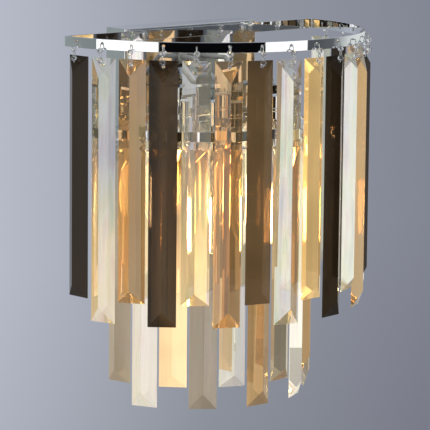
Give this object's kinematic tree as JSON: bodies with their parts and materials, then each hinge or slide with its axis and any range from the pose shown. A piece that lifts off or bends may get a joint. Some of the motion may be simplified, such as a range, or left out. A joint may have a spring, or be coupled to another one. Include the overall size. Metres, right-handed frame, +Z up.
{
  "type": "crystal wall sconce",
  "caption": "Half-round wall sconce: prisms in smoke, clear and amber hang in an outer and an inner tier from bright bands on a shallow wall pan, round candle lamps.",
  "frame": {"origin": "middle of the two wall screw holes, on the wall's surface", "axes": "+Z up, -Y out of the wall towards the room, +X to the right as one faces the sconce"},
  "size_m": [0.2594, 0.156, 0.2731],
  "materials": {
    "polished_chrome": "mirror-bright plated sheet",
    "zinc_steel": "plain zinc-plated steel",
    "holder_plastic": "white heat-proof plastic",
    "contact_brass": "bright brass",
    "bulb_glass": "frosted candle bulb, lit warm",
    "lead_sleeve": "clear-white insulation",
    "earth_sleeve": "green and yellow insulation",
    "link_wire": "bright bent wire",
    "bead_crystal": "small faceted clear bead",
    "smoke_crystal": "polished smoke-grey prism",
    "clear_crystal": "polished clear prism",
    "amber_crystal": "polished amber prism"
  },
  "bodies": {
    "fixture": {"wall_pan": "polished_chrome", "outer_band": "polished_chrome", "inner_band": "polished_chrome", "lamp_cup_left": "polished_chrome", "lamp_cup_right": "polished_chrome", "lamp_bracket": "polished_chrome", "cap_nuts": "polished_chrome", "lamp_nipples": "polished_chrome", "nipple_nuts": "polished_chrome", "wall_bar": "zinc_steel", "bar_studs": "zinc_steel", "frame_screws": "zinc_steel", "frame_nuts": "zinc_steel", "earth_stud": "zinc_steel", "earth_nut": "zinc_steel", "terminal_screws": "zinc_steel", "bulb_caps": "zinc_steel", "lamp_holder_left": "holder_plastic", "lamp_holder_right": "holder_plastic", "terminal_block": "holder_plastic", "lead_grommets": "lead_sleeve", "socket_contacts": "contact_brass", "bulb_domes": "bulb_glass", "lamp_leads": "lead_sleeve", "earth_lead": "earth_sleeve", "outer_link_wires": "link_wire", "inner_link_wires": "link_wire", "outer_link_beads": "bead_crystal", "inner_link_beads": "bead_crystal"},
    "outer_crystal_01": {"outer_prism_01": "smoke_crystal"},
    "outer_crystal_02": {"outer_prism_02": "clear_crystal"},
    "outer_crystal_03": {"outer_prism_03": "amber_crystal"},
    "outer_crystal_04": {"outer_prism_04": "smoke_crystal"},
    "outer_crystal_05": {"outer_prism_05": "clear_crystal"},
    "outer_crystal_06": {"outer_prism_06": "amber_crystal"},
    "outer_crystal_07": {"outer_prism_07": "smoke_crystal"},
    "outer_crystal_08": {"outer_prism_08": "clear_crystal"},
    "outer_crystal_09": {"outer_prism_09": "amber_crystal"},
    "outer_crystal_10": {"outer_prism_10": "smoke_crystal"},
    "outer_crystal_11": {"outer_prism_11": "clear_crystal"},
    "outer_crystal_12": {"outer_prism_12": "amber_crystal"},
    "outer_crystal_13": {"outer_prism_13": "smoke_crystal"},
    "outer_crystal_14": {"outer_prism_14": "clear_crystal"},
    "outer_crystal_15": {"outer_prism_15": "amber_crystal"},
    "outer_crystal_16": {"outer_prism_16": "smoke_crystal"},
    "outer_crystal_17": {"outer_prism_17": "clear_crystal"},
    "inner_crystal_01": {"inner_prism_01": "smoke_crystal"},
    "inner_crystal_02": {"inner_prism_02": "clear_crystal"},
    "inner_crystal_03": {"inner_prism_03": "amber_crystal"},
    "inner_crystal_04": {"inner_prism_04": "smoke_crystal"},
    "inner_crystal_05": {"inner_prism_05": "clear_crystal"},
    "inner_crystal_06": {"inner_prism_06": "amber_crystal"},
    "inner_crystal_07": {"inner_prism_07": "smoke_crystal"},
    "inner_crystal_08": {"inner_prism_08": "clear_crystal"},
    "inner_crystal_09": {"inner_prism_09": "amber_crystal"},
    "inner_crystal_10": {"inner_prism_10": "smoke_crystal"},
    "inner_crystal_11": {"inner_prism_11": "clear_crystal"},
    "inner_crystal_12": {"inner_prism_12": "amber_crystal"}
  },
  "joints": [
    {"name": "outer_swing_01", "type": "hinge", "parent": "fixture", "child": "outer_crystal_01", "pos_m": [-0.12429, -0.03502, 0.0804], "axis": [-0.0724, 0.9974, 0], "range_deg": [-3, 15]},
    {"name": "outer_swing_02", "type": "hinge", "parent": "fixture", "child": "outer_crystal_02", "pos_m": [-0.12043, -0.058, 0.0804], "axis": [-0.2568, 0.9665, 0], "range_deg": [-3, 15]},
    {"name": "outer_swing_03", "type": "hinge", "parent": "fixture", "child": "outer_crystal_03", "pos_m": [-0.11237, -0.07987, 0.0804], "axis": [-0.4323, 0.9017, 0], "range_deg": [-3, 15]},
    {"name": "outer_swing_04", "type": "hinge", "parent": "fixture", "child": "outer_crystal_04", "pos_m": [-0.10037, -0.09985, 0.0804], "axis": [-0.5926, 0.8055, 0], "range_deg": [-3, 15]},
    {"name": "outer_swing_05", "type": "hinge", "parent": "fixture", "child": "outer_crystal_05", "pos_m": [-0.08487, -0.11725, 0.0804], "axis": [-0.7322, 0.681, 0], "range_deg": [-3, 15]},
    {"name": "outer_swing_06", "type": "hinge", "parent": "fixture", "child": "outer_crystal_06", "pos_m": [-0.06639, -0.13145, 0.0804], "axis": [-0.8463, 0.5328, 0], "range_deg": [-3, 15]},
    {"name": "outer_swing_07", "type": "hinge", "parent": "fixture", "child": "outer_crystal_07", "pos_m": [-0.04559, -0.14197, 0.0804], "axis": [-0.9307, 0.3659, 0], "range_deg": [-3, 15]},
    {"name": "outer_swing_08", "type": "hinge", "parent": "fixture", "child": "outer_crystal_08", "pos_m": [-0.0232, -0.14843, 0.0804], "axis": [-0.9825, 0.1862, 0], "range_deg": [-3, 15]},
    {"name": "outer_swing_09", "type": "hinge", "parent": "fixture", "child": "outer_crystal_09", "pos_m": [0, -0.15061, 0.0804], "axis": [-1, 0, 0], "range_deg": [-3, 15]},
    {"name": "outer_swing_10", "type": "hinge", "parent": "fixture", "child": "outer_crystal_10", "pos_m": [0.0232, -0.14843, 0.0804], "axis": [-0.9825, -0.1862, 0], "range_deg": [-3, 15]},
    {"name": "outer_swing_11", "type": "hinge", "parent": "fixture", "child": "outer_crystal_11", "pos_m": [0.04559, -0.14197, 0.0804], "axis": [-0.9307, -0.3659, 0], "range_deg": [-3, 15]},
    {"name": "outer_swing_12", "type": "hinge", "parent": "fixture", "child": "outer_crystal_12", "pos_m": [0.06639, -0.13145, 0.0804], "axis": [-0.8463, -0.5328, 0], "range_deg": [-3, 15]},
    {"name": "outer_swing_13", "type": "hinge", "parent": "fixture", "child": "outer_crystal_13", "pos_m": [0.08487, -0.11725, 0.0804], "axis": [-0.7322, -0.681, 0], "range_deg": [-3, 15]},
    {"name": "outer_swing_14", "type": "hinge", "parent": "fixture", "child": "outer_crystal_14", "pos_m": [0.10037, -0.09985, 0.0804], "axis": [-0.5926, -0.8055, 0], "range_deg": [-3, 15]},
    {"name": "outer_swing_15", "type": "hinge", "parent": "fixture", "child": "outer_crystal_15", "pos_m": [0.11237, -0.07987, 0.0804], "axis": [-0.4323, -0.9017, 0], "range_deg": [-3, 15]},
    {"name": "outer_swing_16", "type": "hinge", "parent": "fixture", "child": "outer_crystal_16", "pos_m": [0.12043, -0.058, 0.0804], "axis": [-0.2568, -0.9665, 0], "range_deg": [-3, 15]},
    {"name": "outer_swing_17", "type": "hinge", "parent": "fixture", "child": "outer_crystal_17", "pos_m": [0.12429, -0.03502, 0.0804], "axis": [-0.0724, -0.9974, 0], "range_deg": [-3, 15]},
    {"name": "inner_swing_01", "type": "hinge", "parent": "fixture", "child": "inner_crystal_01", "pos_m": [-0.0844, -0.03502, 0.0124], "axis": [-0.1294, 0.9916, 0], "range_deg": [-0.5, 10]},
    {"name": "inner_swing_02", "type": "hinge", "parent": "fixture", "child": "inner_crystal_02", "pos_m": [-0.07866, -0.0565, 0.0124], "axis": [-0.3818, 0.9242, 0], "range_deg": [-0.5, 10]},
    {"name": "inner_swing_03", "type": "hinge", "parent": "fixture", "child": "inner_crystal_03", "pos_m": [-0.06756, -0.07577, 0.0124], "axis": [-0.6082, 0.7938, 0], "range_deg": [-0.5, 10]},
    {"name": "inner_swing_04", "type": "hinge", "parent": "fixture", "child": "inner_crystal_04", "pos_m": [-0.05185, -0.0915, 0.0124], "axis": [-0.793, 0.6092, 0], "range_deg": [-0.5, 10]},
    {"name": "inner_swing_05", "type": "hinge", "parent": "fixture", "child": "inner_crystal_05", "pos_m": [-0.03259, -0.10262, 0.0124], "axis": [-0.9238, 0.383, 0], "range_deg": [-0.5, 10]},
    {"name": "inner_swing_06", "type": "hinge", "parent": "fixture", "child": "inner_crystal_06", "pos_m": [-0.01112, -0.10838, 0.0124], "axis": [-0.9914, 0.1306, 0], "range_deg": [-0.5, 10]},
    {"name": "inner_swing_07", "type": "hinge", "parent": "fixture", "child": "inner_crystal_07", "pos_m": [0.01112, -0.10838, 0.0124], "axis": [-0.9914, -0.1306, 0], "range_deg": [-0.5, 10]},
    {"name": "inner_swing_08", "type": "hinge", "parent": "fixture", "child": "inner_crystal_08", "pos_m": [0.03259, -0.10262, 0.0124], "axis": [-0.9238, -0.383, 0], "range_deg": [-0.5, 10]},
    {"name": "inner_swing_09", "type": "hinge", "parent": "fixture", "child": "inner_crystal_09", "pos_m": [0.05185, -0.0915, 0.0124], "axis": [-0.793, -0.6092, 0], "range_deg": [-0.5, 10]},
    {"name": "inner_swing_10", "type": "hinge", "parent": "fixture", "child": "inner_crystal_10", "pos_m": [0.06756, -0.07577, 0.0124], "axis": [-0.6082, -0.7938, 0], "range_deg": [-0.5, 10]},
    {"name": "inner_swing_11", "type": "hinge", "parent": "fixture", "child": "inner_crystal_11", "pos_m": [0.07866, -0.0565, 0.0124], "axis": [-0.3818, -0.9242, 0], "range_deg": [-0.5, 10]},
    {"name": "inner_swing_12", "type": "hinge", "parent": "fixture", "child": "inner_crystal_12", "pos_m": [0.0844, -0.03502, 0.0124], "axis": [-0.1294, -0.9916, 0], "range_deg": [-0.5, 10]}
  ]
}
